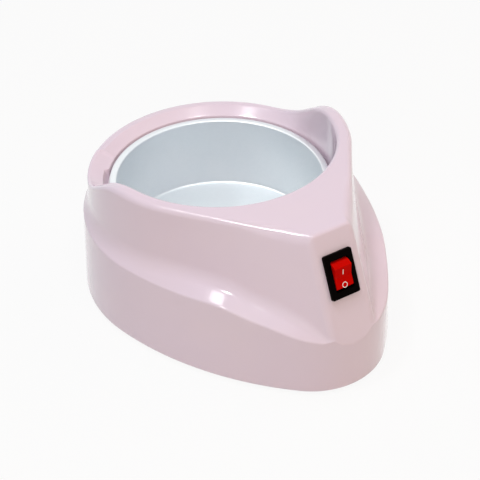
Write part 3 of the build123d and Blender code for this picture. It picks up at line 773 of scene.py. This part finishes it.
def housing_shell(material):
    """One moulded shell: left half, right half, and the holes for the switch and the bushing."""
    feet = hull(foot_radius, facet_foot_half_width, facet_y(facet_foot_height), corner_round)
    tops = hull(upper_radius(cowl_top), facet_half_width, facet_top_y, corner_round)
    stations = [Station(foot, top) for foot, top in zip(feet, tops)]
    columns = [section(station, -1) for station in stations]
    columns += [section(station, 1) for station in reversed(stations[1:-1])]
    rows = len(columns[0])
    points = [point for column in columns for point in column]
    piece = new_piece("housing_shell", points, grid_faces(len(columns), rows), material)
    switch_hole = box_cutter(
        "switch_hole", (cutout_width, cutout_length, 2 * cutout_depth), facet_frame(switch_height),
    )
    rear = skirt_rear_y + skirt_rear_radius
    past = rear + pocket_overshoot
    pocket = drum_cutter("pocket", pocket_radius, rear - pocket_depth, past, bushing_height)
    neck = drum_cutter("neck", neck_radius, rear - neck_depth, rear, bushing_height)
    cut_away(piece, [switch_hole, pocket, neck])
    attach(piece, "housing")
    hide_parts("upper_housing")


# Pot

def round_polygon(corners):
    """Outline in radius and height, with each corner rounded by its third value."""
    points = []
    count = len(corners)
    for index, (out, height, rounding) in enumerate(corners):
        corner = Vector((out, height))
        before = Vector(corners[index - 1][:2])
        after = Vector(corners[(index + 1) % count][:2])
        if rounding:
            points += rounded_corner(before, corner, after, rounding, pot_arc_steps)
        else:
            points.append(corner)
    return points


def spun(name, corners, sides, material):
    """Piece turned round the pot axis from a closed outline that starts and ends on the axis."""
    outline = round_polygon(corners)
    first, last = outline[0], outline[-1]
    rest = outline[1:-1]
    points = [Vector((0, 0, first.y)), Vector((0, 0, last.y))]
    for index in range(sides):
        out = heading(2 * pi * index / sides)
        points += [Vector((out.x * p.x, out.y * p.x, p.y)) for p in rest]
    rows = len(rest)
    faces = []
    for index in range(sides):
        start = 2 + index * rows
        following = 2 + (index + 1) % sides * rows
        faces.append((0, following, start))
        for row in range(rows - 1):
            faces.append((start + row, following + row, following + row + 1, start + row + 1))
        faces.append((1, start + rows - 1, following + rows - 1))
    return new_piece(name, points, faces, material)


def pot_piece(material):
    """Lift-out pot with its flat floor, sloping wall and rim."""
    wall_top = pot_rim_top - pot_rim_height
    rim = pot_radius + pot_rim_width
    foot = pot_radius - pot_draft
    underside = pot_floor_height - pot_sheet
    piece = spun("wax_pot_body", [
        *((ring, underside, 0) for ring in pot_floor_rings),
        (foot + pot_sheet, underside, pot_corner_radius + pot_sheet),
        (pot_radius + pot_sheet, wall_top, pot_under_rim_round),
        (rim, wall_top, pot_rim_round / 2),
        (rim, pot_rim_top, pot_rim_round),
        (pot_radius, pot_rim_top, pot_rim_round),
        (foot, pot_floor_height, pot_corner_radius),
        *((ring, pot_floor_height, 0) for ring in reversed(pot_floor_rings)),
    ], pot_sides, material)
    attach(piece, "pot")
    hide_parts("wax_pot")


# Materials

def new_material(name, colour, roughness, metallic, **sockets):
    """Principled material with constants set on the shader."""
    material = bpy.data.materials.new(name)
    material.use_nodes = True
    shader = material.node_tree.nodes["Principled BSDF"]
    shader.inputs["Base Color"].default_value = (*colour, 1.0)
    shader.inputs["Roughness"].default_value = roughness
    shader.inputs["Metallic"].default_value = metallic
    for socket, value in sockets.items():
        shader.inputs[socket.replace("_", " ")].default_value = value
    return material


def add_noise(material, scale):
    nodes, links = material.node_tree.nodes, material.node_tree.links
    coordinates = nodes.new("ShaderNodeTexCoord")
    noise = nodes.new("ShaderNodeTexNoise")
    noise.inputs["Scale"].default_value = scale
    noise.inputs["Detail"].default_value = noise_detail
    links.new(coordinates.outputs["Object"], noise.inputs["Vector"])
    return noise


def vary_colour(material, noise, first, second):
    nodes, links = material.node_tree.nodes, material.node_tree.links
    ramp = nodes.new("ShaderNodeValToRGB")
    ramp.color_ramp.elements[0].position = noise_low
    ramp.color_ramp.elements[0].color = (*first, 1.0)
    ramp.color_ramp.elements[1].position = noise_high
    ramp.color_ramp.elements[1].color = (*second, 1.0)
    links.new(noise.outputs["Fac"], ramp.inputs["Fac"])
    links.new(ramp.outputs["Color"], nodes["Principled BSDF"].inputs["Base Color"])


def vary_roughness(material, noise, low, high):
    nodes, links = material.node_tree.nodes, material.node_tree.links
    remap = nodes.new("ShaderNodeMapRange")
    remap.inputs["From Min"].default_value = noise_low
    remap.inputs["From Max"].default_value = noise_high
    remap.inputs["To Min"].default_value = low
    remap.inputs["To Max"].default_value = high
    links.new(noise.outputs["Fac"], remap.inputs["Value"])
    links.new(remap.outputs["Result"], nodes["Principled BSDF"].inputs["Roughness"])


def add_bump(material, noise, strength, distance):
    nodes, links = material.node_tree.nodes, material.node_tree.links
    bump = nodes.new("ShaderNodeBump")
    bump.inputs["Strength"].default_value = strength
    bump.inputs["Distance"].default_value = distance
    links.new(noise.outputs["Fac"], bump.inputs["Height"])
    links.new(bump.outputs["Normal"], nodes["Principled BSDF"].inputs["Normal"])


def plastic(
    name, first, second, roughness, grain=plastic_grain, bump=plastic_bump, **sockets,
):
    low, high = (roughness * share for share in plastic_gloss_spread)
    material = new_material(name, first, roughness, 0.0, **sockets)
    vary_colour(material, add_noise(material, plastic_colour_noise), first, second)
    vary_roughness(material, add_noise(material, plastic_gloss_noise), low, high)
    add_bump(material, add_noise(material, grain), bump, plastic_bump_depth)
    return material


def metal(name, first, second, roughness, **sockets):
    low, high = (roughness * share for share in metal_gloss_spread)
    material = new_material(name, first, roughness, 1.0, **sockets)
    vary_colour(material, add_noise(material, metal_colour_noise), first, second)
    vary_roughness(material, add_noise(material, metal_grain), low, high)
    add_bump(material, add_noise(material, metal_grain), metal_bump, metal_bump_depth)
    return material


def turned_metal(name, first, second, roughness, **sockets):
    """Metal whose fine grooves run round the upright axis, as turning leaves them."""
    material = metal(name, first, second, roughness, **sockets)
    nodes, links = material.node_tree.nodes, material.node_tree.links
    tangent = nodes.new("ShaderNodeTangent")
    tangent.direction_type = "RADIAL"
    tangent.axis = "Z"
    links.new(tangent.outputs["Tangent"], nodes["Principled BSDF"].inputs["Tangent"])
    return material


def make_materials():
    """One material for each slot of the record, by the slot's name."""
    return {
        "housing_plastic": plastic(
            "housing_plastic", (0.82, 0.65, 0.755), (0.83, 0.66, 0.75), 0.16, grain=300.0,
            bump=0.004, Coat_Weight=0.6, Coat_Roughness=0.06,
        ),
        "base_plastic": plastic("base_plastic", (0.70, 0.64, 0.67), (0.73, 0.66, 0.69), 0.45),
        "pot_aluminium": turned_metal(
            "pot_aluminium", (0.82, 0.86, 0.885), (0.85, 0.88, 0.90), 0.42, Anisotropic=0.25,
        ),
        "well_aluminium": metal("well_aluminium", (0.72, 0.73, 0.75), (0.78, 0.79, 0.80), 0.38),
        "plated_steel": metal("plated_steel", (0.60, 0.60, 0.61), (0.68, 0.68, 0.67), 0.3),
        "foot_rubber": plastic("foot_rubber", (0.05, 0.05, 0.055), (0.08, 0.08, 0.085), 0.75),
        "gasket_silicone": plastic("gasket_silicone", (0.80, 0.79, 0.77), (0.85, 0.84, 0.82), 0.6),
        "heater_mica": plastic("heater_mica", (0.42, 0.34, 0.24), (0.58, 0.49, 0.36), 0.5),
        "black_phenolic": plastic("black_phenolic", (0.02, 0.02, 0.02), (0.04, 0.035, 0.03), 0.4),
        "contact_brass": metal("contact_brass", (0.72, 0.55, 0.26), (0.80, 0.64, 0.34), 0.3),
        "switch_black": plastic(
            "switch_black", (0.0018, 0.001, 0.001), (0.0025, 0.0015, 0.0015), 0.3,
            Specular_IOR_Level=0.01,
        ),
        "rocker_red": plastic(
            "rocker_red", (0.57, 0.002, 0.001), (0.63, 0.003, 0.001), 0.15, bump=0.01,
            Specular_IOR_Level=0.01,
        ),
        "mark_white": plastic("mark_white", (0.85, 0.82, 0.80), (0.92, 0.90, 0.88), 0.4),
        "spring_steel": metal("spring_steel", (0.62, 0.62, 0.64), (0.7, 0.7, 0.72), 0.2),
        "lamp_glass": plastic(
            "lamp_glass", (0.95, 0.9, 0.85), (0.97, 0.93, 0.9), 0.05, Transmission_Weight=0.9,
        ),
        "fibre_pad": plastic(
            "fibre_pad", (0.74, 0.71, 0.64), (0.86, 0.84, 0.78), 0.9, grain=1500.0, bump=0.4,
        ),
        "bushing_rubber": plastic("bushing_rubber", (0.74, 0.68, 0.71), (0.78, 0.71, 0.74), 0.5),
        "block_nylon": plastic("block_nylon", (0.84, 0.82, 0.76), (0.90, 0.88, 0.84), 0.45),
        "lead_sleeve": plastic("lead_sleeve", (0.52, 0.07, 0.06), (0.62, 0.10, 0.08), 0.5),
    }


def dress_nodes(materials):
    """Gives every carried-over node the material of its slot."""
    for subpart in frame["record"]["subparts"]:
        node = frame["nodes"][subpart["node"]]
        node.data.materials.clear()
        node.data.materials.append(materials[subpart["material_slot"]])


# Studio

def add_math(tree, operation, first, second):
    """Math node on two outputs, or on an output and a number."""
    node = tree.nodes.new("ShaderNodeMath")
    node.operation = operation
    tree.links.new(first, node.inputs[0])
    if isinstance(second, float):
        node.inputs[1].default_value = second
    else:
        tree.links.new(second, node.inputs[1])
    return node.outputs[0]


def blend_shaders(tree, share, first, second, output):
    """Mixes two shaders by a share and sends the result to the surface."""
    blend = tree.nodes.new("ShaderNodeMixShader")
    tree.links.new(share, blend.inputs["Fac"])
    tree.links.new(first.outputs[0], blend.inputs[1])
    tree.links.new(second.outputs[0], blend.inputs[2])
    tree.links.new(blend.outputs[0], output.inputs["Surface"])


def add_background(tree, colour, strength):
    background = tree.nodes.new("ShaderNodeBackground")
    background.inputs["Color"].default_value = colour
    background.inputs["Strength"].default_value = strength
    return background


def add_world():
    """Dim light on the object, and white where the camera, gloss and glass look past it."""
    world = bpy.data.worlds.new("studio")
    world.use_nodes = True
    tree = world.node_tree
    tree.nodes.clear()
    output = tree.nodes.new("ShaderNodeOutputWorld")
    path = tree.nodes.new("ShaderNodeLightPath").outputs
    shiny = add_math(tree, "MAXIMUM", path["Is Glossy Ray"], path["Is Transmission Ray"])
    seen = add_math(tree, "MAXIMUM", path["Is Camera Ray"], shiny)
    soft = add_background(tree, world_colour, world_strength)
    bright = add_background(tree, white, white_strength)
    blend_shaders(tree, seen, soft, bright, output)
    bpy.context.scene.world = world


def add_area(name, place, aim, size, power, colour, shape, shown):
    """Area light aimed at a point, shown in the gloss or not."""
    light = bpy.data.lights.new(name, "AREA")
    light.shape = shape
    light.size, light.size_y = size
    light.energy = power
    light.color = colour
    holder = bpy.data.objects.new(name, light)
    holder.location = place
    holder.rotation_euler = (aim - place).to_track_quat("-Z", "Y").to_euler()
    holder.visible_glossy = shown
    bpy.context.scene.collection.objects.link(holder)


def add_lights():
    """Soft lights from all sides, and small lamps that the gloss picks up."""
    middle = Vector(light_aim)
    for name, (direction, power, colour) in softboxes.items():
        place = middle + Vector(direction).normalized() * softbox_distance
        add_area(name, place, middle, softbox_size, power, colour, "RECTANGLE", False)
    for name, (direction, power, size) in lamps.items():
        place = middle + Vector(direction).normalized() * lamp_distance
        add_area(name, place, middle, size, power, lamp_colour, "ELLIPSE", True)


def add_floor():
    """Pale floor that the camera sees as white, with a faint soft shadow."""
    half = floor_half
    mesh = bpy.data.meshes.new("floor")
    corners = [(-half, -half, 0), (half, -half, 0), (half, half, 0), (-half, half, 0)]
    mesh.from_pydata(corners, [], [(0, 1, 2, 3)])
    material = bpy.data.materials.new("floor")
    material.use_nodes = True
    tree = material.node_tree
    tree.nodes.clear()
    output = tree.nodes.new("ShaderNodeOutputMaterial")
    diffuse = tree.nodes.new("ShaderNodeBsdfDiffuse")
    diffuse.inputs["Color"].default_value = floor_colour
    glow = tree.nodes.new("ShaderNodeEmission")
    glow.inputs["Strength"].default_value = white_strength
    path = tree.nodes.new("ShaderNodeLightPath").outputs
    seen = add_math(tree, "MAXIMUM", path["Is Camera Ray"], path["Is Glossy Ray"])
    share = add_math(tree, "MULTIPLY", seen, floor_white_share)
    blend_shaders(tree, share, diffuse, glow, output)
    mesh.materials.append(material)
    floor = bpy.data.objects.new("floor", mesh)
    bpy.context.scene.collection.objects.link(floor)


bpy.context.scene.view_settings.view_transform = "Standard"
add_camera()
finishes = make_materials()
dress_nodes(finishes)
housing_shell(finishes["housing_plastic"])
pot_piece(finishes["pot_aluminium"])
add_world()
add_lights()
add_floor()
